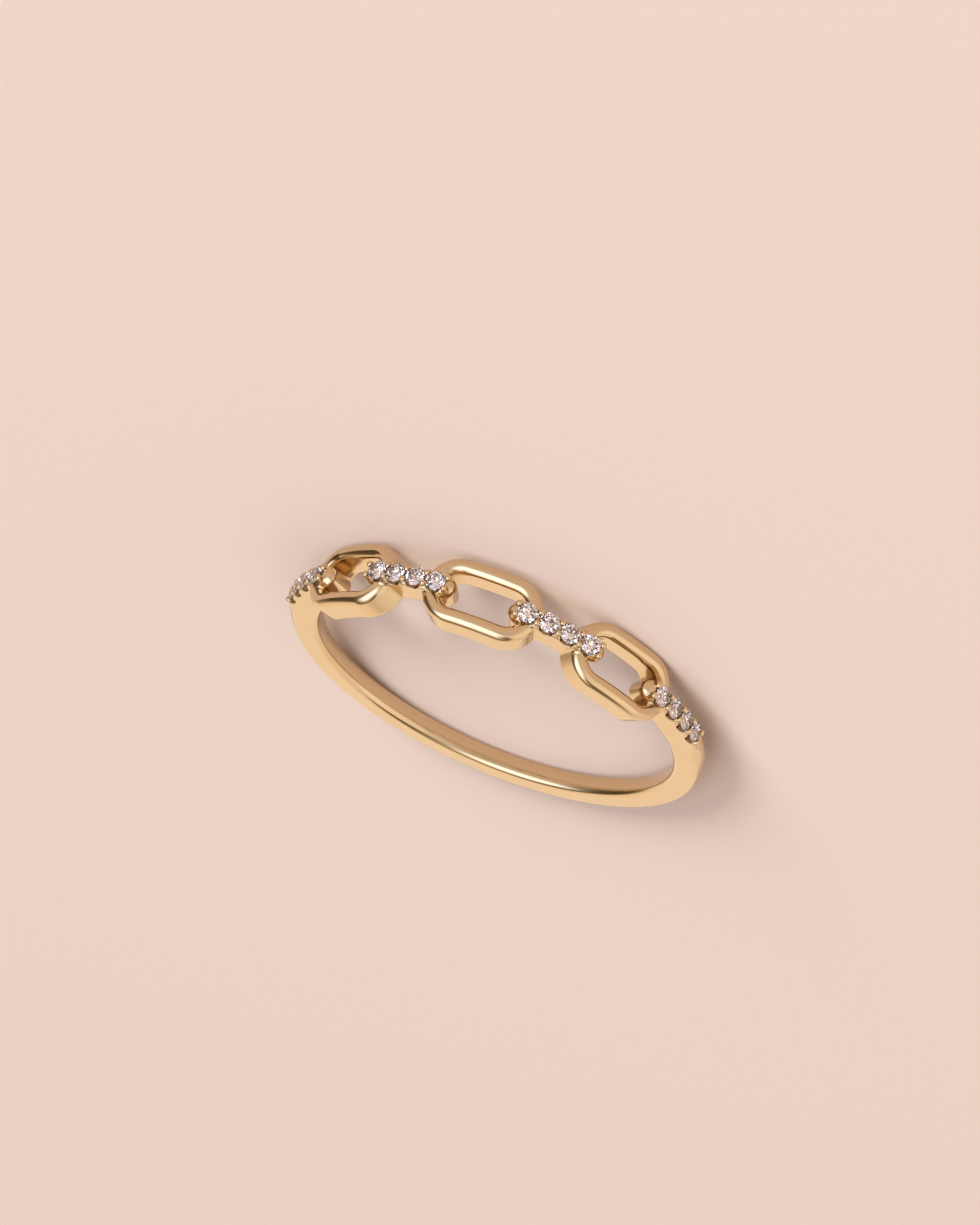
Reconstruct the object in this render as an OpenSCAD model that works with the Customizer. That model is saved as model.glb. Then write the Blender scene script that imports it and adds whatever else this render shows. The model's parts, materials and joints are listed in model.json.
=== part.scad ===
// Chain link ring: one cast gold ring with three open links across its front,
// and sixteen small round brilliants in four rows, each a stone of its own.
//
// The ring lies on its side, as it rests by itself. The finger hole's centre stands
// over the origin, the middle link points to +Y, and the lowest edges touch z = 0.
// A "place" is an angle round the ring from the middle link, positive towards +X.

/* [Finger hole] */
// Diameter of the finger hole
finger_d = 17.3; // [14:0.1:22]
// Bevel along both edges of the finger hole
inner_bevel = 0.12; // [0.05:0.01:0.25]

/* [Band] */
// Width of the band along the finger
band_w = 1.0; // [0.98:0.01:1.5]
// Thickness of the band at its side faces
band_t = 1.2; // [1:0.05:1.4]
// How far the band's outer face swells in the middle
band_dome = 0.13; // [0.05:0.01:0.2]
// Stretch over which a shoulder falls from its stones to the band, in degrees
fall_angle = 24; // [12:1:40]

/* [Links] */
// Length of a link, measured round its top
link_l = 5.63; // [4.6:0.01:6.4]
// Width of a link along the finger
link_w = 3.2; // [2.8:0.05:4.2]
// Thickness of a link, from the finger hole to its top
link_t = 1.4; // [1.1:0.05:1.5]
// Width of a link's wire
wire_w = 0.74; // [0.6:0.01:0.9]
// Bare length of the bar between two links
bar_l = 1.84; // [1.2:0.01:2.8]

/* [Stones] */
// Diameter of a stone
stone_d = 0.95; // [0.8:0.01:0.95]
// Gap between two neighbouring stones
stone_gap = 0.1; // [0.08:0.01:0.2]
// Metal thickness under the stones, from the finger hole to the row's top
row_t = 1.55; // [1.45:0.05:1.8]
// Height of a stone's girdle over the row's top
girdle_h = 0.05; // [0:0.01:0.08]
// Gap between a stone and its seat
seat_gap = 0.02; // [0.01:0.005:0.03]
// From an end stone's centre to the centre of a bar's round nose
bar_nose = 0.39; // [0.3:0.01:0.6]
// From the first stone's centre to the centre of a shoulder's round nose
shoulder_nose = 0.5; // [0.4:0.01:1]

/* [Claws] */
// Diameter of the round claw tips between the stones
claw_d = 0.22; // [0.16:0.01:0.24]
// Distance between the two claws of a pair
claw_span = 0.56; // [0.54:0.01:0.7]
// Height of a claw tip's centre over the girdle
claw_h = 0.07; // [0.06:0.01:0.12]
// Diameter of the round notch across the row under each stone
notch_d = 0.7; // [0.5:0.01:0.8]

/* [Hidden] */
LINKS = [-1, 0, 1];                 // link places, in steps from link to link
ROWS = [-1.5, -0.5, 0.5, 1.5];      // row places, in the same steps
ROW_NAMES = ["left_shoulder", "left_bar", "right_bar", "right_shoulder"];
ROW_STONES = 4;

GOLD = "goldenrod";
CLEAR = "white";
degrees = 180 / PI;  // degrees in a radian
facets = 64;         // smoothness of circles
inset = 0.6;         // how far the band and rows reach inside the finger hole, to be cut away
link_inset = 0.5;    // the same for links and noses
bevel_inset = 0.1;   // how far the bevels run on inside the finger hole
lap = 1;             // how far a swell reaches into its row, in degrees
swell_run = 1.3;     // how far it runs on into the band, as a share of its fall
join = 0.02;         // small step where a round piece meets a straight one
root = 0.05;         // how deep a link's rails are rooted in its ends
claw_root = 0.4;     // how deep a claw is rooted in the row
claw_taper = 0.03;   // how much thinner a claw's post is than its tip
notch_lift = 0.05;   // height of a notch's centre over the girdle
end_wall = 0.2;      // metal past the last claw, where a shoulder's row ends

// Proportions of the cut, as shares of the stone's radius
TABLE = 0.58;
CROWN = 0.3;
PAVILION = 0.86;
STAR = 0.45;         // share of the crown's slope that the star facets take
LOWER = 0.78;        // share of the pavilion's slope that the lower facets take
GIRDLE = 0.06;       // thickness of the girdle

// Radii from the finger axis
finger_r = finger_d / 2;
edge_r = finger_r + band_t;
crown_r = edge_r + band_dome;
link_r = finger_r + link_t;
row_r = finger_r + row_t;
girdle_r = row_r + girdle_h;

half_w = band_w / 2;
stone_r = stone_d / 2;
seat_r = stone_r + seat_gap;
girdle_t = GIRDLE * stone_r;
nose_r = half_w - join;

// Steps and places round the ring, in degrees: the right side's noses are counted
// from the middle link to the band
link_step = (link_l + bar_l) / link_r * degrees;
turn_step = (link_l - link_w) / 2 / link_r * degrees;
stone_step = (stone_d + stone_gap) / girdle_r * degrees;
row_half = (ROW_STONES - 1) / 2 * stone_step;
bar_place = ROWS[2] * link_step;
shoulder_place = ROWS[3] * link_step;
inner_nose = bar_place - row_half - bar_nose / row_r * degrees;
outer_nose = bar_place + row_half + bar_nose / row_r * degrees;
back_nose = shoulder_place - row_half - shoulder_nose / row_r * degrees;
row_back = shoulder_place + row_half + stone_step / 2 + end_wall / row_r * degrees;

// The links' openings, each from the centre of one nose to that of the next
OPENINGS = [[-back_nose, -outer_nose], [-inner_nose, inner_nose], [outer_nose, back_nose]];

// How the ring leans where it lies: on the rails of the two outer links,
// at their far ends, and on the outer edge of the band's back
lean = atan2((link_w - band_w) / 2, finger_r * cos(link_step + turn_step) + edge_r);
rest_h = edge_r * sin(lean) + half_w * cos(lean);

function stone_name(row, k) = str(ROW_NAMES[row], "_stone_", k + 1);
function stone_place(row, k) = ROWS[row] * link_step + (k - (ROW_STONES - 1) / 2) * stone_step;

// Lays the ring on its side, from its own frame where the finger axis is Z
module laid_down() {
    translate([0, 0, rest_h]) rotate([lean, 0, 0]) children();
}

// Points Z outwards at a place round the ring, with X along the ring
module outward(place) {
    rotate([0, 0, -place]) rotate([-90, 0, 0]) children();
}

// Sweeps a section (x = radius, y = along the finger) from one place to another
module swept(from, to) {
    rotate([0, 0, 90 - to]) rotate_extrude(angle = to - from, $fn = 2 * facets) children();
}

// A slice through the ring's whole width, from one place to another
module slice(from, to) {
    reach = 2 * row_r;
    translate([0, 0, -band_w]) linear_extrude(2 * band_w) polygon([
        [0, 0],
        [reach * sin(from), reach * cos(from)],
        [reach * sin(to), reach * cos(to)]
    ]);
}

// Straight sided section, bevelled at the finger hole, up to a radius
module straight_section(top_r) {
    inner_half = half_w - inner_bevel;
    polygon([
        [finger_r - inset, bevel_inset - inner_half],
        [finger_r - bevel_inset, bevel_inset - inner_half],
        [finger_r + inner_bevel, -half_w],
        [top_r, -half_w],
        [top_r, half_w],
        [finger_r + inner_bevel, half_w],
        [finger_r - bevel_inset, inner_half - bevel_inset],
        [finger_r - inset, inner_half - bevel_inset]
    ]);
}

// The arc that swells over a section's straight sides
module domed_section(side_r) {
    dome_r = (half_w * half_w + band_dome * band_dome) / (2 * band_dome);
    intersection() {
        translate([side_r + band_dome - dome_r, 0]) circle(r = dome_r, $fn = 2 * facets);
        translate([side_r, -half_w]) square([2 * band_dome, band_w]);
    }
}

// The hoop, which is the plain band at the ring's back
module hoop() {
    rotate_extrude($fn = 2 * facets) {
        straight_section(edge_r);
        domed_section(edge_r);
    }
}

// The raised front of the hoop, which carries all four rows
module raised_front() {
    swept(-row_back, row_back)
        translate([edge_r - band_t / 2, -half_w]) square([row_t - band_t / 2, band_w]);
}

// The swell by which a shoulder falls to the band: a ring set off centre,
// as high as the row at the row's end and level with the band after the fall
module shoulder_swell(side) {
    off = (row_r * row_r - crown_r * crown_r) / (2 * (row_r - crown_r * cos(fall_angle)));
    side_r = row_r - band_dome - off;
    intersection() {
        rotate([0, 0, -side * row_back]) translate([0, off, 0]) rotate_extrude($fn = 2 * facets) {
            translate([side_r - band_t / 2, -half_w]) square([band_t / 2, band_w]);
            domed_section(side_r);
        }
        slice(side * (row_back - lap), side * (row_back + swell_run * fall_angle));
    }
}

// A row's round nose, which dips into a link's opening: a post with a ball end
module nose(place) {
    outward(place) translate([0, 0, row_r - join - nose_r]) rotate_extrude($fn = facets) {
        translate([0, nose_r - row_t - link_inset]) square([nose_r, row_t + link_inset - nose_r]);
        intersection() {
            circle(r = nose_r, $fn = facets);
            square(nose_r);
        }
    }
}

// Round notch across a row, under one stone
module notch(place) {
    outward(place) translate([0, 0, girdle_r + notch_lift]) rotate([90, 0, 0])
        cylinder(d = notch_d, h = 2 * band_w, center = true, $fn = facets);
}

// Hoop, bars and shoulders: the three openings part the raised front
module body() {
    step = join / row_r * degrees;
    difference() {
        union() {
            hoop();
            raised_front();
            for (side = [-1, 1]) shoulder_swell(side);
        }
        for (o = OPENINGS) slice(o[0] - step, o[1] + step);
        for (row = [0:len(ROWS) - 1]) for (k = [0:ROW_STONES - 1]) notch(stone_place(row, k));
    }
    for (o = OPENINGS) {
        nose(o[0]);
        nose(o[1]);
    }
}

// Section of a link's wire, upright (x = across, y = radius): flat sides, round top
module wire_section(slim = 0) {
    w = wire_w - 2 * slim;
    top = link_r - slim;
    translate([-w / 2, finger_r - link_inset]) square([w, top - w / 2 - finger_r + link_inset]);
    translate([0, top - w / 2]) circle(d = w, $fn = facets);
}

// One open link, bent round the finger hole
module link(place) {
    turn = (link_w - wire_w) / 2;
    overlap = root / link_r * degrees;
    // The two long rails follow the finger hole and are rooted in the ends
    for (side = [-1, 1]) swept(place - turn_step - overlap, place + turn_step + overlap)
        translate([0, side * turn]) rotate(-90) wire_section(join);
    // Each end is half a turn about its own outward axis
    for (end = [-1, 1]) outward(place + end * turn_step) rotate([0, 0, -90 * end])
        rotate_extrude(angle = 180, $fn = 2 * facets) translate([turn, 0]) wire_section();
}

// Room for one stone: straight above its girdle, a cone below
module seat(place) {
    pit = girdle_t / 2 + seat_gap;
    outward(place) {
        translate([0, 0, girdle_r - pit]) cylinder(r = seat_r, h = pit + 2 * claw_d, $fn = facets);
        translate([0, 0, girdle_r - pit - PAVILION * seat_r])
            cylinder(r1 = seat_gap, r2 = seat_r, h = PAVILION * seat_r, $fn = facets);
    }
}

// A pair of claws, between two stones or at a row's end
module claw_pair(place) {
    tip_r = girdle_r + claw_h;
    outward(place) for (side = [-1, 1]) translate([0, side * claw_span / 2, 0]) {
        translate([0, 0, row_r - claw_root])
            cylinder(d = claw_d - claw_taper, h = tip_r - row_r + claw_root, $fn = facets / 2);
        translate([0, 0, tip_r]) sphere(d = claw_d, $fn = facets / 2);
    }
}

module cast_ring() {
    color(GOLD) laid_down() {
        difference() {
            union() {
                body();
                for (k = LINKS) link(k * link_step);
            }
            cylinder(r = finger_r, h = 2 * link_w, center = true, $fn = 2 * facets);
            for (row = [0:len(ROWS) - 1]) for (k = [0:ROW_STONES - 1]) seat(stone_place(row, k));
        }
        for (row = [0:len(ROWS) - 1]) for (k = [0:ROW_STONES]) claw_pair(stone_place(row, k - 0.5));
    }
}

// Points on a circle, evenly spaced from a first angle
function level(count, radius, height, first) =
    [for (i = [0:count - 1]) let (a = first + i * 360 / count) [radius * cos(a), radius * sin(a), height]];

// A round brilliant with its girdle at z = 0 and its table up: 8 kites, 8 stars
// and 16 upper facets on the crown, 8 mains and 16 lower facets on the pavilion
module brilliant() {
    top = girdle_t / 2;
    star_x = stone_r * (TABLE + (1 - TABLE) * STAR);
    lower_x = stone_r * (1 - LOWER);
    points = concat(
        level(8, TABLE * stone_r, top + CROWN * stone_r, 0),
        level(8, star_x / cos(22.5), top + CROWN * stone_r * (1 - STAR), 22.5),
        level(16, stone_r, top, 0),
        level(16, stone_r, -top, 0),
        level(8, lower_x / cos(22.5), -top - PAVILION * stone_r * LOWER, 22.5),
        [[0, 0, -top - PAVILION * stone_r]]
    );
    // First index of each level
    star = 8;
    upper = 16;
    under = 32;
    deep = 48;
    culet = 56;
    faces = concat(
        [[for (i = [7:-1:0]) i]],
        [for (i = [0:7]) [i, (i + 1) % 8, star + i]],
        [for (i = [0:7]) [i, star + i, upper + 2 * i, star + (i + 7) % 8]],
        [for (i = [0:7]) [star + i, upper + 2 * i + 1, upper + 2 * i]],
        [for (i = [0:7]) [star + i, upper + (2 * i + 2) % 16, upper + 2 * i + 1]],
        [for (i = [0:15]) [upper + i, upper + (i + 1) % 16, under + (i + 1) % 16, under + i]],
        [for (i = [0:7]) [deep + i, under + 2 * i, under + 2 * i + 1]],
        [for (i = [0:7]) [deep + i, under + 2 * i + 1, under + (2 * i + 2) % 16]],
        [for (i = [0:7]) [culet, deep + (i + 7) % 8, under + 2 * i, deep + i]]
    );
    polyhedron(points, faces);
}

module stone(row, k) {
    color(CLEAR) laid_down() outward(stone_place(row, k)) translate([0, 0, girdle_r]) brilliant();
}

cast_ring();
for (row = [0:len(ROWS) - 1]) for (k = [0:ROW_STONES - 1])
    stone(row, k);
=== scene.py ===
# %% [markdown]
# A slim cast gold ring: three open links across its front, two short bars between them, and small
# round stones on the bars and on the shoulders. It lies on its side on a pale floor.
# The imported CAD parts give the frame. Here the cast metal gets its real surface, with every corner
# softened as polishing leaves it, and the metal and the stones get their finish.

# %% Load the frame
import json
import math

import bpy
import numpy as np
from mathutils import Matrix, Vector


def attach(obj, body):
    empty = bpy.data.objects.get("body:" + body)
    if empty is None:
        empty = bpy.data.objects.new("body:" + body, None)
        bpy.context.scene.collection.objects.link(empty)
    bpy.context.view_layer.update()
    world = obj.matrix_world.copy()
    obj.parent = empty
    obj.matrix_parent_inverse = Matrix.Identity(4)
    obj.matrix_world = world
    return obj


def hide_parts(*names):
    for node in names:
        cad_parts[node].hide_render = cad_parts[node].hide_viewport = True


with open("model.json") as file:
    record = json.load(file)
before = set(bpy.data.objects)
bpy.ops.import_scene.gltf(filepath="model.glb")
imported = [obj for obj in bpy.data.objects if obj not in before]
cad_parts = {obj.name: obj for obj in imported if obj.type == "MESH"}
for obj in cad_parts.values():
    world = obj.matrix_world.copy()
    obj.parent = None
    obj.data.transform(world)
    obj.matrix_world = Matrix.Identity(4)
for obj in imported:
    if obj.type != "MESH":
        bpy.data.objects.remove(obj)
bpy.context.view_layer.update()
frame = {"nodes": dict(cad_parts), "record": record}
print("CAD nodes:", len(frame["nodes"]))

# %% [markdown]
# A jeweller works in millimetres, and the frame is in metres, so sizes are written in millimetres
# and turned into metres only when a mesh is made. The finger hole, its tilt and its height over the
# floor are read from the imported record, so that they can't differ from the CAD.
# The other sizes are those of the real ring, under the names a jeweller would use.

# %% Sizes of the ring, in millimetres
MM = 0.001
bore = frame["record"]["mounts"][0]
FINGER_R = bore["dims"]["r_mm"]
REST_H = bore["pos_m"][2] / MM
LEAN = math.atan2(-bore["axis"][1], bore["axis"][2])

HALF_W = 0.5           # half the band's width
EDGE_R = FINGER_R + 1.2     # the band's outer edges
CROWN_R = EDGE_R + 0.13     # the band's outer face, in its middle
ROW_R = FINGER_R + 1.55     # top of the metal that holds the stones
LINK_R = FINGER_R + 1.4     # top of a link
LINK_L = 5.63          # length of a link, round its top
LINK_W = 3.2           # width of a link
WIRE_W = 0.74          # width of its wire
BAR_L = 1.84           # bare length of a bar
STONE_D = 0.95         # diameter of a stone
STONE_PITCH = 1.05     # from one stone to the next
ROW_STONES = 4         # stones in a row
GIRDLE_R = ROW_R + 0.05     # the stones' girdles
BAR_NOSE = 0.39        # from a bar's end stone to the centre of its nose
SHOULDER_NOSE = 0.5    # the same for a shoulder
ROW_REST = 0.2         # metal behind the last claws of a shoulder
print(f"finger hole {2 * FINGER_R:.2f} mm, lean {math.degrees(LEAN):.2f} degrees")

# %% [markdown]
# Along the ring, a place is an angle from the middle link. The ring's left and right halves are
# alike, and so are its upper and lower sides, so every place is counted as positive.
# Each outer link is one step from the middle link, and a bar or a shoulder lies halfway between two
# such steps.

# %% Places round the ring, in radians
LINK_STEP = (LINK_L + BAR_L) / LINK_R
TURN_PLACE = (LINK_L - LINK_W) / 2 / LINK_R     # where a link's straight stretch ends
STONE_STEP = STONE_PITCH / GIRDLE_R
ROW_HALF = (ROW_STONES - 1) / 2 * STONE_STEP    # from a row's middle to its end stone
BAR_PLACE = 0.5 * LINK_STEP
SHOULDER_PLACE = 1.5 * LINK_STEP
BAR_END = ROW_HALF + BAR_NOSE / ROW_R           # from a bar's middle to its nose
SHOULDER_START = SHOULDER_PLACE - ROW_HALF - SHOULDER_NOSE / ROW_R
ROW_BACK = SHOULDER_PLACE + ROW_HALF + STONE_STEP / 2 + ROW_REST / ROW_R
print(f"the rows on the shoulders end at {math.degrees(ROW_BACK):.1f} degrees")

# %% [markdown]
# Cast metal has no sharp corner: wax flows where two forms meet, and polishing rounds what is left.
# Bevels and voxel remeshing could do this, but a bevel stops where many small cuts cross, and voxels
# leave a fine grain that polished gold would show. So the metal is described as a field: a number
# that is negative inside the metal, zero on its skin and positive outside, in millimetres.
# Two fields are joined with a soft minimum, which fills the corner between them with a fillet.

# %% Join, cut and fade fields
def joined(a, b, fillet):
    h = np.maximum(fillet - np.abs(a - b), 0) / fillet
    return np.minimum(a, b) - h * h * fillet / 4


def common(a, b, fillet):
    return -joined(-a, -b, fillet)


def cut(a, b, fillet):
    return common(a, -b, fillet)


def fade(x, low, high):
    """A share that grows softly from 0 to 1 between two values."""
    t = np.clip((x - low) / (high - low), 0, 1)
    return t * t * (3 - 2 * t)


print(f"where two skins cross, a 0.1 mm fillet adds {-joined(0.0, 0.0, 0.1):.3f} mm of metal")

# %% [markdown]
# The band is flat on its sides and gently domed outside. Behind the last stone it rises to a
# rounded ridge, which falls back to the plain band. Only the height of its outer face changes along
# the ring, so one short function of the place gives it.

# %% The band's outer face
RIDGE_RISE = 0.278     # how far the ridge stands over the band's crown
RIDGE_FALL = math.radians(24)
EDGE_RISE = 0.27       # the same for the band's outer edges
EDGE_FALL = math.radians(6)
RIDGE_START = 0.02     # stretch over which the ridge rises behind the last claws, in radians


def ring_top(place, z):
    crown = CROWN_R + RIDGE_RISE * (1 - fade(place, ROW_BACK, ROW_BACK + RIDGE_FALL))
    edge = EDGE_R + EDGE_RISE * (1 - fade(place, ROW_BACK - RIDGE_START, ROW_BACK + EDGE_FALL))
    ridge = crown - (crown - edge) * (z / HALF_W) ** 2
    return ROW_R + (ridge - ROW_R) * fade(place, ROW_BACK - RIDGE_START, ROW_BACK)


print(f"outer radius: ridge {ring_top(ROW_BACK, 0):.2f} mm, plain band {ring_top(math.pi, 0):.2f} mm")

# %% [markdown]
# The stones stand on stretches of metal with a flat top. Each ends in a nose, a post with a ball end,
# which dips into the link's opening. A box and a sphere could be joined with a boolean, but the seam
# would show in polished metal. Here the strip's field fades into the ball's, which leaves no seam.

# %% A row and its nose
TOP_EDGE = 0.12        # softness of the outer edges
NOSE_BLEND = 0.5       # stretch over which a flat row turns into its ball end


def row(beyond, top, rho, z):
    """A stretch of metal under stones; beyond is how far a point lies past the nose's centre."""
    plan = np.hypot(np.maximum(beyond, 0), z) - HALF_W
    flat = common(plan, rho - top, TOP_EDGE)
    over = np.maximum(rho - (ROW_R - HALF_W), 0)
    ball = np.sqrt(np.maximum(beyond, 0) ** 2 + z * z + over * over) - HALF_W
    return flat + (ball - flat) * fade(beyond, -NOSE_BLEND, 0)


print(f"a nose is {2 * HALF_W:.1f} mm thick and round from {NOSE_BLEND} mm before its centre")

# %% [markdown]
# Band, shoulders and bars make one hoop round the finger. A bar has a nose at each end. A shoulder has
# one at its front and runs on behind as the band. The noses slant back under their balls. The finger
# hole is cut last. Its wall is slightly domed, so that the ring slides on easily.

# %% The hoop
BORE_EDGE = 0.2        # softness of the edges at the finger
INNER_DOME = 0.12      # how far the inner face falls back at its edges
UNDERCUT = math.radians(15)    # by how much a shoulder's nose slants back
BAR_UNDERCUT = math.radians(10)


def hoop(place, rho, z):
    deep = np.maximum(ROW_R - HALF_W - rho, 0)
    past_bar = rho * (np.abs(place - BAR_PLACE) - BAR_END) + math.tan(BAR_UNDERCUT) * deep
    past_shoulder = rho * (SHOULDER_START - place) + math.tan(UNDERCUT) * deep
    bar = row(past_bar, ROW_R, rho, z)
    shoulder = row(past_shoulder, ring_top(place, z), rho, z)
    inner_face = FINGER_R + INNER_DOME * (z / HALF_W) ** 2 - rho
    return common(np.minimum(bar, shoulder), inner_face, BORE_EDGE)


print(f"the hole widens from {2 * FINGER_R:.2f} to {2 * (FINGER_R + INNER_DOME):.2f} mm at its edges")

# %% [markdown]
# A link is one wire bent to a long oval, and the oval is bent round the finger. The wire's sides are
# flat and its top is round. A curve with a bevel profile could be swept along the oval, but the
# field needs only the distance from the oval, and then the link fuses with the bars by itself.

# %% The links
WIRE_R = WIRE_W / 2
TURN_R = (LINK_W - WIRE_W) / 2
LINK_EDGE = 0.16       # softness of a link's edges at the finger


def links(place, rho, z):
    nearest = np.where(place < LINK_STEP / 2, 0, LINK_STEP)
    turned = np.maximum(np.abs(place - nearest) - TURN_PLACE, 0)
    along = rho * np.sin(turned)
    height = rho * np.cos(turned)
    from_wire = np.hypot(along, z) - TURN_R
    wire = np.hypot(from_wire, np.maximum(height - (LINK_R - WIRE_R), 0)) - WIRE_R
    return common(wire, FINGER_R - rho, LINK_EDGE)


print(f"a link's opening, without the noses: {LINK_L - 2 * WIRE_W:.2f} by {LINK_W - 2 * WIRE_W:.2f} mm")

# %% [markdown]
# Stones and claws repeat along each row. They could be placed one by one, but then each would need a
# field of its own. Instead, a point is measured from the nearest one, so one formula serves them all.

# %% Measure from the nearest stone or claw
def local(place, rho, count):
    """Position along and above the ring, counted from the nearest of a row's stones or claws."""
    centre = np.where(place < LINK_STEP, BAR_PLACE, SHOULDER_PLACE)
    last = (count - 1) / 2
    nearest = np.clip(np.round((place - centre) / STONE_STEP + last), 0, count - 1) - last
    turned = place - centre - nearest * STONE_STEP
    return rho * np.sin(turned), rho * np.cos(turned)


print(f"a bar's middle is {abs(local(BAR_PLACE, GIRDLE_R, ROW_STONES)[0]):.3f} mm from its nearest stone")

# %% [markdown]
# Under each stone the metal is cut twice: a round notch right across the row, which lets light in
# from the sides, and a seat drilled from above. What stays between two stones are two small pillars,
# whose tips are pushed over the stones' edges as claws.

# %% Notches, seats and claws
NOTCH_R = 0.35
NOTCH_RISE = 0.05      # height of a notch's centre over the girdles
SEAT_R = STONE_D / 2 + 0.02
SEAT_DEPTH = 0.43
SEAT_LEDGE = 0.03      # the seat's straight wall, below and above the girdle
CROWN_FALL = 1.4       # how fast a seat narrows above the girdle, as its stone does
SEAT_CLOSE = 0.25      # where its narrowing stops being counted, far above the stone
CLAW_R = 0.155
CLAW_SPREAD = 0.26     # from the row's middle to a claw
CLAW_ROOT = 0.35       # how deep a claw's pillar is rooted in the row
CLAW_RISE = 0.025      # height of a claw's tip centre over the girdles


def notches(place, rho, z):
    along, height = local(place, rho, ROW_STONES)
    return np.hypot(along, height - GIRDLE_R - NOTCH_RISE) - NOTCH_R


def seats(place, rho, z):
    along, height = local(place, rho, ROW_STONES)
    below = np.maximum(GIRDLE_R - SEAT_LEDGE - height, 0)
    above = np.maximum(height - GIRDLE_R - SEAT_LEDGE, 0)
    wall = SEAT_R * (1 - below / SEAT_DEPTH) - CROWN_FALL * above
    return np.hypot(along, z) - np.maximum(wall, -SEAT_CLOSE)


def claws(place, rho, z):
    along, height = local(place, rho, ROW_STONES + 1)
    tip = GIRDLE_R + CLAW_RISE
    above = height - np.clip(height, ROW_R - CLAW_ROOT, tip)
    return np.sqrt(along ** 2 + (z - CLAW_SPREAD) ** 2 + above ** 2) - CLAW_R


print(f"stones {STONE_D} mm in seats of {2 * SEAT_R:.2f} mm, claw tips {2 * CLAW_R:.2f} mm across")

# %% [markdown]
# The whole casting is now four lines: the notches are cut, the links and the claws are added, and
# the seats come last. They have the stones' own form, so the claws reach over the stones' edges
# without running into them.

# %% The whole casting
SOLDER = 0.12          # fillet where a link meets a bar
FINE = 0.03            # fillet between the smallest forms


def casting(place, rho, z):
    metal = cut(hoop(place, rho, z), notches(place, rho, z), FINE)
    metal = joined(metal, links(place, rho, z), SOLDER)
    metal = joined(metal, claws(place, rho, z), FINE)
    return cut(metal, seats(place, rho, z), FINE)


def casting_at(points):
    """The casting's field at points given as x, y and z, in the ring's own frame."""
    x, y, z = points.T
    return casting(np.arctan2(np.abs(x), y), np.hypot(x, y), np.abs(z))


back = np.array([[0, -(FINGER_R + EDGE_R) / 2, 0]])
print(f"the middle of the band's back lies {-casting_at(back)[0]:.2f} mm under the skin")

# %% [markdown]
# The skin is found on a grid that is bent round the finger like the ring itself. Its cells are small
# where the stones sit and long on the plain band, which a straight grid couldn't do. Each quarter of
# the ring is a mirror image of the next, so the field is worked out on one quarter and copied.

# %% The bent grid
CELL = 0.051           # where the stones sit
PLAIN_CELL = 0.5       # along the plain band
DEEP_CELL = 0.07       # down towards the finger
SIDE_CELL = 0.06       # out towards the links' sides
FRONT = ROW_BACK + math.radians(3)    # place up to which the cells are small
SMALL_FROM_R = 9.6     # radius from which they are small
SMALL_TO_H = 0.62      # height up to which they are small
INNER_ROOM = 0.15      # room between the metal and the ends of the grid
OUTER_ROOM = 0.3
SIDE_ROOM = 0.12


def steps(stretches):
    """Middles of the cells along stretches given as (from, to, cell size)."""
    out = []
    for low, high, size in stretches:
        count = max(1, round((high - low) / size))
        out.append(low + (np.arange(count) + 0.5) * (high - low) / count)
    return np.concatenate(out)


half_places = steps([(0, FRONT, CELL / ROW_R), (FRONT, math.pi, PLAIN_CELL / EDGE_R)])
radii = steps([(FINGER_R - INNER_ROOM, SMALL_FROM_R, DEEP_CELL),
               (SMALL_FROM_R, GIRDLE_R + OUTER_ROOM, CELL)])
half_heights = steps([(0, SMALL_TO_H, CELL), (SMALL_TO_H, LINK_W / 2 + SIDE_ROOM, SIDE_CELL)])
quarter = casting(half_places[:, None, None], radii[None, :, None], half_heights[None, None, :])
half = np.concatenate([quarter[:, :, ::-1], quarter], axis=2)
field = np.concatenate([half[::-1], half], axis=0)
places = np.concatenate([-half_places[::-1], half_places])
heights = np.concatenate([-half_heights[::-1], half_heights])
print("grid points:", field.shape)

# %% [markdown]
# A cell has eight corners. Where some lie in the metal and others don't, the skin crosses the cell.
# The grid closes on itself along its first axis, so the ring needs no seam.

# %% Find the cells that the skin crosses
def corner(values, i, j, k):
    """The field at the same corner of every cell."""
    rolled = np.roll(values, -i, axis=0)
    return rolled[:, j:values.shape[1] - 1 + j, k:values.shape[2] - 1 + k]


CORNERS = [(i, j, k) for i in (0, 1) for j in (0, 1) for k in (0, 1)]
at_corners = np.stack([corner(field, *c) for c in CORNERS])
inside = (at_corners < 0).sum(axis=0)
cells = np.argwhere((inside > 0) & (inside < len(CORNERS)))
at_corners = at_corners[:, cells[:, 0], cells[:, 1], cells[:, 2]]
print("cells on the skin:", len(cells))

# %% [markdown]
# Each of these cells gets one vertex, at the mean of the points where the skin crosses its edges.
# Marching cubes would put a vertex on every crossed edge, which makes many thin triangles. One vertex
# a cell gives even four-sided faces instead.

# %% Put a vertex in each cell
CELL_EDGES = [(a, b) for a in range(8) for b in range(a + 1, 8)
              if np.abs(np.subtract(CORNERS[a], CORNERS[b])).sum() == 1]
sums = np.zeros((len(cells), 3))
hits = np.zeros(len(cells))
for a, b in CELL_EDGES:
    crossed = (at_corners[a] < 0) != (at_corners[b] < 0)
    share = at_corners[a][crossed] / (at_corners[a][crossed] - at_corners[b][crossed])
    sums[crossed] += CORNERS[a] + share[:, None] * np.subtract(CORNERS[b], CORNERS[a])
    hits[crossed] += 1
skin = cells + sums / hits[:, None]
print("vertices:", len(skin))

# %% [markdown]
# Four cells share each edge of the grid. Where the skin crosses that edge, their four vertices are
# the corners of a face, which is turned so that it looks out of the metal.

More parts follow.
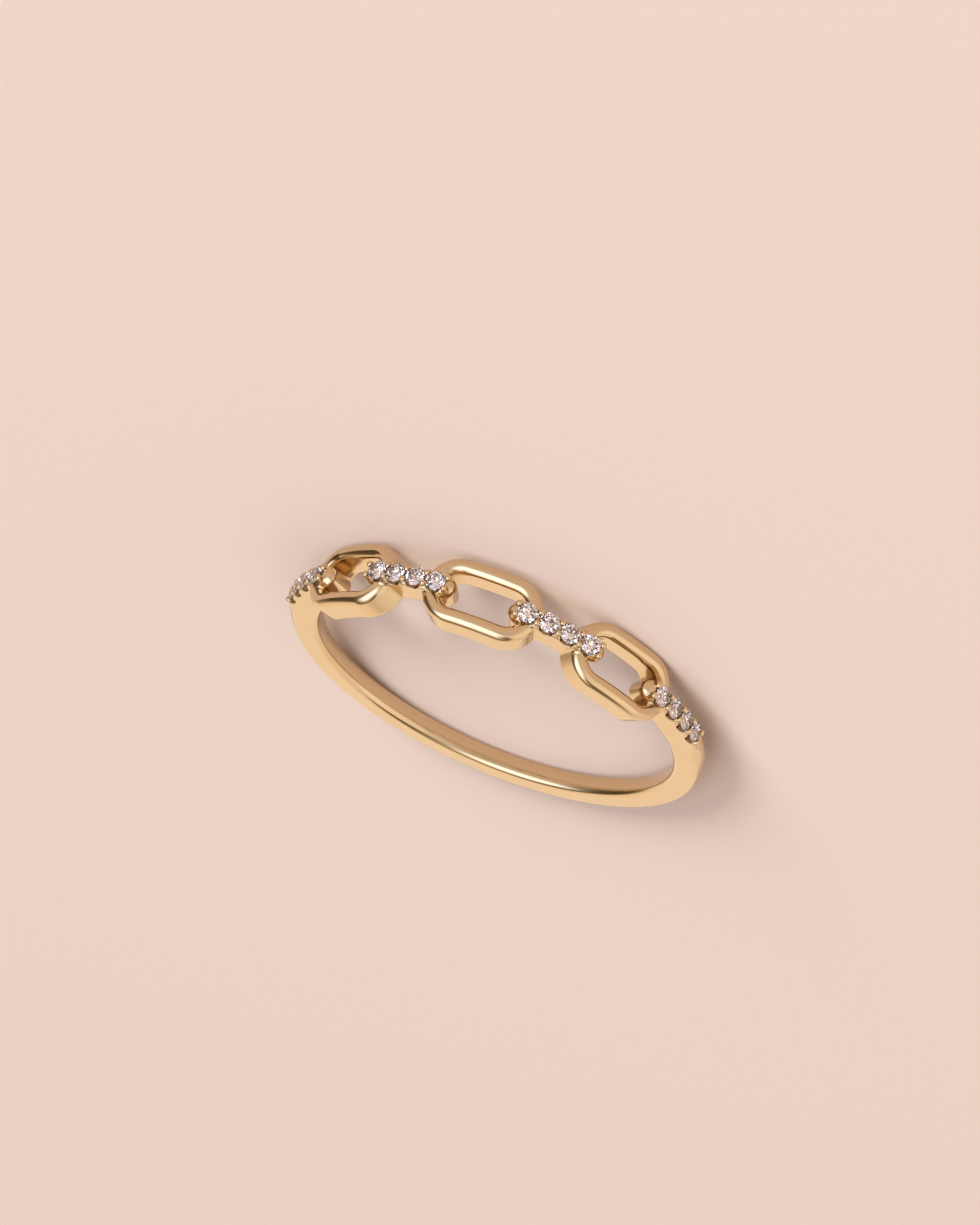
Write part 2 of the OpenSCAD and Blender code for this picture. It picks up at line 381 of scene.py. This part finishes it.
# %% Put a face round each crossed edge
cell_index = np.full((field.shape[0], field.shape[1] - 1, field.shape[2] - 1), -1)
cell_index[tuple(cells.T)] = np.arange(len(cells))
UNIT = np.eye(3, dtype=int)
quads = []
for axis in range(3):
    following = np.roll(field, -1, axis=axis)
    crossed = (field < 0) != (following < 0)
    if axis > 0:
        crossed[(slice(None),) * axis + (-1,)] = False
    edges = np.argwhere(crossed)
    one = UNIT[(axis + 1) % 3]
    two = UNIT[(axis + 2) % 3]
    around = np.stack([edges, edges - one, edges - one - two, edges - two], axis=1)
    around[..., 0] %= field.shape[0]
    quad = cell_index[around[..., 0], around[..., 1], around[..., 2]]
    turned_in = field[tuple(edges.T)] > 0
    quad[turned_in] = quad[turned_in][:, ::-1]
    quads.append(quad)
quads = np.concatenate(quads)
print("faces:", len(quads), "triangles:", 2 * len(quads))

# %% [markdown]
# The vertices are bent round the ring and then moved along the field's slope until they lie on the
# skin itself. The same slope is the exact normal there, and it is given to the mesh, so that
# reflections run over the metal without following the faces.

# %% Settle the vertices on the skin
SLOPE_REACH = 0.002    # how far to each side the field is looked at, in millimetres
LEAST_SLOPE = 0.3      # keeps a vertex from jumping where the field is nearly level
ROUNDS = 3


def slope(points):
    ahead = [casting_at(points + SLOPE_REACH * UNIT[i]) for i in range(3)]
    behind = [casting_at(points - SLOPE_REACH * UNIT[i]) for i in range(3)]
    return np.stack([(a - b) / (2 * SLOPE_REACH) for a, b in zip(ahead, behind)], axis=1)


place = np.interp(skin[:, 0], np.arange(len(places) + 1), np.append(places, places[0] + 2 * math.pi))
rho = np.interp(skin[:, 1], np.arange(len(radii)), radii)
height = np.interp(skin[:, 2], np.arange(len(heights)), heights)
points = np.stack([rho * np.sin(place), rho * np.cos(place), height], axis=1)
for _ in range(ROUNDS):
    grade = slope(points)
    move = casting_at(points) / np.maximum((grade ** 2).sum(axis=1), LEAST_SLOPE)
    points -= np.clip(move, -CELL / 2, CELL / 2)[:, None] * grade
off = np.abs(casting_at(points))
grade = slope(points)
normals = grade / np.linalg.norm(grade, axis=1)[:, None]
print(f"furthest from the skin: {off.max():.4f} mm, usually {np.median(off):.6f} mm")

# %% [markdown]
# Only now do the points become a mesh. It is laid down as the ring lies: turned by its lean and
# lifted so that it touches the floor. It stands for the CAD's cast ring.

# %% Make the gold piece
laid = Matrix.Translation((0, 0, REST_H * MM)) @ Matrix.Rotation(LEAN, 4, "X")
turn = np.array(laid.to_3x3())
metal_mesh = bpy.data.meshes.new("cast_metal")
metal_mesh.from_pydata((points @ turn.T * MM + np.array(laid.translation)).tolist(), [], quads.tolist())
metal_mesh.shade_smooth()
metal_mesh.normals_split_custom_set_from_vertices((normals @ turn.T).tolist())
metal = bpy.data.objects.new("cast_metal", metal_mesh)
bpy.context.scene.collection.objects.link(metal)
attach(metal, "root")
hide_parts("cast_ring")
print("gold piece:", len(metal_mesh.vertices), "vertices")

# %% [markdown]
# Three finishes follow, and each starts from Blender's main shader. What varies over a surface comes
# from noise. It is laid out in the object's own space, so it stays on the object in every view.

# %% Helpers for the finishes
def shader_of(name):
    material = bpy.data.materials.new(name)
    material.use_nodes = True
    return material, material.node_tree, material.node_tree.nodes["Principled BSDF"]


def noise(tree, size_mm, detail):
    """Noise whose patches are about size_mm across."""
    coordinates = tree.nodes.new("ShaderNodeTexCoord")
    texture = tree.nodes.new("ShaderNodeTexNoise")
    texture.inputs["Scale"].default_value = 1 / (size_mm * MM)
    texture.inputs["Detail"].default_value = detail
    tree.links.new(coordinates.outputs["Object"], texture.inputs["Vector"])
    return texture.outputs["Fac"]


def mixed(tree, way, factor, one, other):
    """Two colours or sources put together; the factor says how much of the other is used."""
    mix = tree.nodes.new("ShaderNodeMix")
    mix.data_type = "RGBA"
    mix.blend_type = way
    for socket, source in (("Factor", factor), ("A", one), ("B", other)):
        if isinstance(source, bpy.types.NodeSocket):
            tree.links.new(source, mix.inputs[socket])
        else:
            mix.inputs[socket].default_value = source
    return mix.outputs["Result"]


print("the helpers for the finishes are ready")

# %% [markdown]
# Polished 14 carat gold is a metal with a warm colour and a nearly smooth skin. What keeps it from
# looking like plastic is what polishing leaves: a slightly uneven shine and very shallow ripples.

# %% Gold
GOLD_LIGHT = (0.74, 0.555, 0.335, 1)
GOLD_DEEP = (0.69, 0.505, 0.295, 1)
GOLD_ROUGHNESS = (0.15, 0.21)
TONE_SIZE = 2.5        # patches of lighter and deeper gold, in millimetres
SHINE_SIZE = 1.2       # patches of more and less shine
RIPPLE_SIZE = 0.7
RIPPLE_DEPTH = 0.004
RIPPLE_STRENGTH = 0.12
NOISE_RANGE = (0.3, 0.7)    # most of a noise's values lie between these


def spread(tree, source, low, high):
    """Noise stretched to lie between two values."""
    node = tree.nodes.new("ShaderNodeMapRange")
    node.inputs["From Min"].default_value = NOISE_RANGE[0]
    node.inputs["From Max"].default_value = NOISE_RANGE[1]
    node.inputs["To Min"].default_value = low
    node.inputs["To Max"].default_value = high
    tree.links.new(source, node.inputs["Value"])
    return node.outputs["Result"]


def bumped(tree, source, strength, depth_mm, shader):
    bump = tree.nodes.new("ShaderNodeBump")
    bump.inputs["Strength"].default_value = strength
    bump.inputs["Distance"].default_value = depth_mm * MM
    tree.links.new(source, bump.inputs["Height"])
    tree.links.new(bump.outputs["Normal"], shader.inputs["Normal"])


gold, tree, shader = shader_of("polished_gold")
shader.inputs["Metallic"].default_value = 1.0
tone = mixed(tree, "MIX", noise(tree, TONE_SIZE, detail=2), GOLD_LIGHT, GOLD_DEEP)
tree.links.new(tone, shader.inputs["Base Color"])
shine = spread(tree, noise(tree, SHINE_SIZE, detail=2), *GOLD_ROUGHNESS)
tree.links.new(shine, shader.inputs["Roughness"])
bumped(tree, noise(tree, RIPPLE_SIZE, detail=2), RIPPLE_STRENGTH, RIPPLE_DEPTH, shader)
metal_mesh.materials.append(gold)
print("gold roughness:", *GOLD_ROUGHNESS)

# %% [markdown]
# The stones keep their CAD shape, since a brilliant's facets are flat and sharp. The finish is what
# makes them stones: clear, smooth, with a faint warm tint, and bending light far more than glass.

# %% Stones
STONE_TINT = (0.93, 0.85, 0.84, 1)
STONE_BEND = 2.42      # index of refraction; glass has 1.5
stone, tree, shader = shader_of("clear_brilliant")
shader.inputs["Base Color"].default_value = STONE_TINT
shader.inputs["Roughness"].default_value = 0.0
shader.inputs["IOR"].default_value = STONE_BEND
shader.inputs["Transmission Weight"].default_value = 1.0
stones = [o for name, o in frame["nodes"].items() if "stone" in name]
for piece in stones:
    piece.data.materials.clear()
    piece.data.materials.append(stone)
print("stones:", len(stones))

# %% [markdown]
# The floor is a plain pale sheet, far larger than the ring, because polished metal shows it up to
# the horizon. Like paper, it is dull and its tone drifts a little.

# %% Floor
FLOOR_SIZE = 4.0       # in metres
PAPER_DEEP = (0.580, 0.460, 0.390, 1)
PAPER_LIGHT = (0.595, 0.476, 0.405, 1)
PAPER_SIZE = 0.5       # patches of its tones, in millimetres
floor_mesh = bpy.data.meshes.new("floor")
reach = FLOOR_SIZE / 2
floor_mesh.from_pydata([(-reach, -reach, 0), (reach, -reach, 0), (reach, reach, 0), (-reach, reach, 0)],
                       [], [(0, 1, 2, 3)])
floor = bpy.data.objects.new("floor", floor_mesh)
bpy.context.scene.collection.objects.link(floor)
paper, tree, shader = shader_of("pale_paper")
tone = mixed(tree, "MIX", noise(tree, PAPER_SIZE, detail=3), PAPER_DEEP, PAPER_LIGHT)
tree.links.new(tone, shader.inputs["Base Color"])
shader.inputs["Roughness"].default_value = 0.9
shader.inputs["Specular IOR Level"].default_value = 0.1
floor_mesh.materials.append(paper)
print("floor:", FLOOR_SIZE, "m across")

# %% [markdown]
# The camera looks from the photograph's angle: from the side of the middle link, a little to the
# right, 25 degrees over the floor, and rolled so that the links are at the top of the picture.
# It stands far away with a long lens, as small jewels are photographed.

# %% Camera
AIM = Vector((-0.039, 7.240, 1.198)) * MM
DISTANCE = 321.5 * MM
AROUND = math.radians(13.98)      # from the middle link towards the right
OVER = math.radians(24.80)        # over the floor
ROLL = math.radians(-154.75)
PICTURE_H = 36                    # height of the picture behind the lens
LENS = 212.64

toward = Vector((math.sin(AROUND) * math.cos(OVER), math.cos(AROUND) * math.cos(OVER), math.sin(OVER)))
camera_data = bpy.data.cameras.new("camera")
camera_data.sensor_fit = "VERTICAL"
camera_data.sensor_height = PICTURE_H
camera_data.lens = LENS
camera_data.clip_start = 0.01
camera = bpy.data.objects.new("camera", camera_data)
level = toward.to_track_quat("Z", "Y").to_matrix().to_4x4()
camera.matrix_world = (Matrix.Translation(AIM + DISTANCE * toward) @ level
                       @ Matrix.Rotation(ROLL, 4, "Z"))
bpy.context.scene.collection.objects.link(camera)
bpy.context.scene.camera = camera
print(f"the camera stands {DISTANCE / MM:.0f} mm away")

# %% [markdown]
# Gold shows what is round it, so the studio is part of the finish. Screens and lamps could be built
# round the ring, but drawing them in the world's shader keeps them soft and out of the picture.
# The shader is asked for the light from one direction at a time. Two angles say where that is: the
# angle round the ring, counted from the middle link, and the angle over the floor.

# %% Directions in the studio
def calculated(tree, operation, *inputs):
    node = tree.nodes.new("ShaderNodeMath")
    node.operation = operation
    for socket, source in zip(node.inputs, inputs):
        tree.links.new(source, socket)
    return node.outputs["Value"]


world = bpy.data.worlds.new("studio")
world.use_nodes = True
tree = world.node_tree
coordinates = tree.nodes.new("ShaderNodeTexCoord")
direction = tree.nodes.new("ShaderNodeSeparateXYZ")
tree.links.new(coordinates.outputs["Generated"], direction.inputs["Vector"])
azimuth = calculated(tree, "ARCTAN2", direction.outputs["X"], direction.outputs["Y"])
height_angle = calculated(tree, "ARCSINE", direction.outputs["Z"])
print("the studio has", len(tree.nodes), "nodes so far")

# %% [markdown]
# A ramp turns an angle into light. Its stops are listed, and the light eases from one to the next, as it
# does along a wall.

# %% A ramp of light
def light_colour(bright, warmth):
    return (bright, bright * (1 - warmth / 2), bright * (1 - warmth), 1)


def ramp(tree, source, stops):
    """Light along a range of angles, in degrees."""
    lowest = stops[0][0]
    highest = stops[-1][0]
    share = tree.nodes.new("ShaderNodeMapRange")
    share.inputs["From Min"].default_value = math.radians(lowest)
    share.inputs["From Max"].default_value = math.radians(highest)
    tree.links.new(source, share.inputs["Value"])
    node = tree.nodes.new("ShaderNodeValToRGB")
    node.color_ramp.interpolation = "EASE"
    marks = node.color_ramp.elements
    marks[0].color = light_colour(*stops[0][1:])
    marks[1].color = light_colour(*stops[-1][1:])
    for angle, bright, warmth in stops[1:-1]:
        mark = marks.new((angle - lowest) / (highest - lowest))
        mark.color = light_colour(bright, warmth)
    tree.links.new(share.outputs["Result"], node.inputs["Fac"])
    return node.outputs["Color"]


print("brightness 1 with a warmth of 0.2 is", light_colour(1, 0.2)[:3])

# %% [markdown]
# The walls are drawn as a ramp round the horizon: bright screens behind the ring and at its right, a
# dark curtain at its left, and a softer wall in front. Above them a second ramp draws a ceiling, dark
# at its edge and pale in its middle. Dark parts matter as much as bright ones, because a polished
# form is read from the edges between them.

# %% Walls and ceiling
# Each stop is an angle, a brightness and a warmth
WALLS = [(-180, 1.12, 0.3), (-150, 1.17, 0.3), (-122, 1.1, 0.3), (-110, 0.3, 0.5), (-102, 0.1, 0.6),
         (-80, 0.1, 0.6), (-64, 0.35, 0.3), (-44, 0.7, 0.1), (-25, 0.75, 0.1), (10, 0.65, 0.1),
         (35, 0.85, 0.15), (50, 1.1, 0.2), (85, 1.25, 0.2), (105, 1.0, 0.2), (140, 1.02, 0.3),
         (180, 1.12, 0.3)]
CEILING = [(0, 0.16, 0.5), (62, 0.16, 0.5), (70, 0.32, 0.4), (80, 0.7, 0.2), (90, 0.85, 0.1)]
WALL_TOP = (48, 59)           # angles between which the walls turn into the ceiling


def eased(tree, source, low, high):
    """A share that grows softly from 0 to 1 between two values."""
    share = tree.nodes.new("ShaderNodeMapRange")
    share.interpolation_type = "SMOOTHSTEP"
    share.inputs["From Min"].default_value = low
    share.inputs["From Max"].default_value = high
    tree.links.new(source, share.inputs["Value"])
    return share.outputs["Result"]


overhead = eased(tree, height_angle, *map(math.radians, WALL_TOP))
room = mixed(tree, "MIX", overhead, ramp(tree, azimuth, WALLS), ramp(tree, height_angle, CEILING))
print("wall stops:", len(WALLS), "ceiling stops:", len(CEILING))

# %% [markdown]
# The links' white bands come from a box in front. Its light fades towards its edge, which a lamp's
# doesn't, so it is drawn here too, as a round patch with a soft border. It is a little cool, which
# takes the gold's own colour out of the brightest bands.

# %% The box in front
FRONT_BOX = (-28, 53)         # where it stands: angles round and over
FRONT_EDGE = (40, 8)          # angles from its middle where its light starts and is full
FRONT_LIGHT = (1.6, 1.8, 2.3, 1)


def direction_of(azimuth_deg, height_deg):
    turned = math.radians(azimuth_deg)
    over = math.radians(height_deg)
    return Vector((math.sin(turned) * math.cos(over), math.cos(turned) * math.cos(over), math.sin(over)))


facing = tree.nodes.new("ShaderNodeVectorMath")
facing.operation = "DOT_PRODUCT"
tree.links.new(coordinates.outputs["Generated"], facing.inputs[0])
facing.inputs[1].default_value = direction_of(*FRONT_BOX)
feather = eased(tree, facing.outputs["Value"], *(math.cos(math.radians(edge)) for edge in FRONT_EDGE))
room = mixed(tree, "ADD", feather, room, FRONT_LIGHT)
print("the box in front is", 2 * FRONT_EDGE[0], "degrees wide")

# %% [markdown]
# A brilliant looks lively because each facet shows another bit of the room, here a lamp and there
# something dark. This room is too plain for that, so rays that leave a stone see it broken up into
# small dark and bright patches. The metal and the floor don't see them.

# %% Patches for the stones
PATCHES = 10                  # how fine the pattern is that the stones look out on
PATCH_EDGE = (0.5, 0.56)      # values of its noise between which dark turns into bright
DARK_PATCH = (0.04, 0.015, 0.01, 1)
BRIGHT_PATCH = (2.2, 2.05, 2.0, 1)
small = tree.nodes.new("ShaderNodeTexNoise")
small.inputs["Scale"].default_value = PATCHES
small.inputs["Detail"].default_value = 1
tree.links.new(coordinates.outputs["Generated"], small.inputs["Vector"])
patches = mixed(tree, "MIX", eased(tree, small.outputs["Fac"], *PATCH_EDGE), DARK_PATCH, BRIGHT_PATCH)
ray = tree.nodes.new("ShaderNodeLightPath")
room = mixed(tree, "MULTIPLY", ray.outputs["Is Transmission Ray"], room, patches)
background = tree.nodes["Background"]
tree.links.new(room, background.inputs["Color"])
background.inputs["Strength"].default_value = 1.0
bpy.context.scene.world = world
print("the finished studio has", len(tree.nodes), "nodes")

# %% [markdown]
# One lamp does the rest. It stands low in front, at the left, and throws the soft shadow to the back
# and the right. It lights the floor alone: a flag hides it from the metal and the stones, where the
# studio's own bands should stay. The picture is shown without a film curve, since the pale floor
# should stay as pale as it is.

# %% Lamp
def softbox(name, azimuth_deg, height_deg, distance, size, bright):
    """A round soft lamp that faces the ring; bright is its brightness beside the walls' 1."""
    lamp = bpy.data.lights.new(name, "AREA")
    lamp.shape = "DISK"
    lamp.size = size
    lamp.energy = bright * math.pi * math.pi * (size / 2) ** 2
    holder = bpy.data.objects.new(name, lamp)
    away = direction_of(azimuth_deg, height_deg)
    aimed = away.to_track_quat("Z", "Y").to_matrix().to_4x4()
    holder.matrix_world = Matrix.Translation(away * distance) @ aimed
    bpy.context.scene.collection.objects.link(holder)
    return holder


key = softbox("key", azimuth_deg=-22, height_deg=15, distance=2.0, size=0.8, bright=50)
key.visible_glossy = False
key.visible_transmission = False
bpy.context.scene.view_settings.view_transform = "Standard"
print("lamp energy:", round(key.data.energy, 1))

# %% [markdown]
# Last, the scene is brought up to date.

# %% Update the scene
bpy.context.view_layer.update()
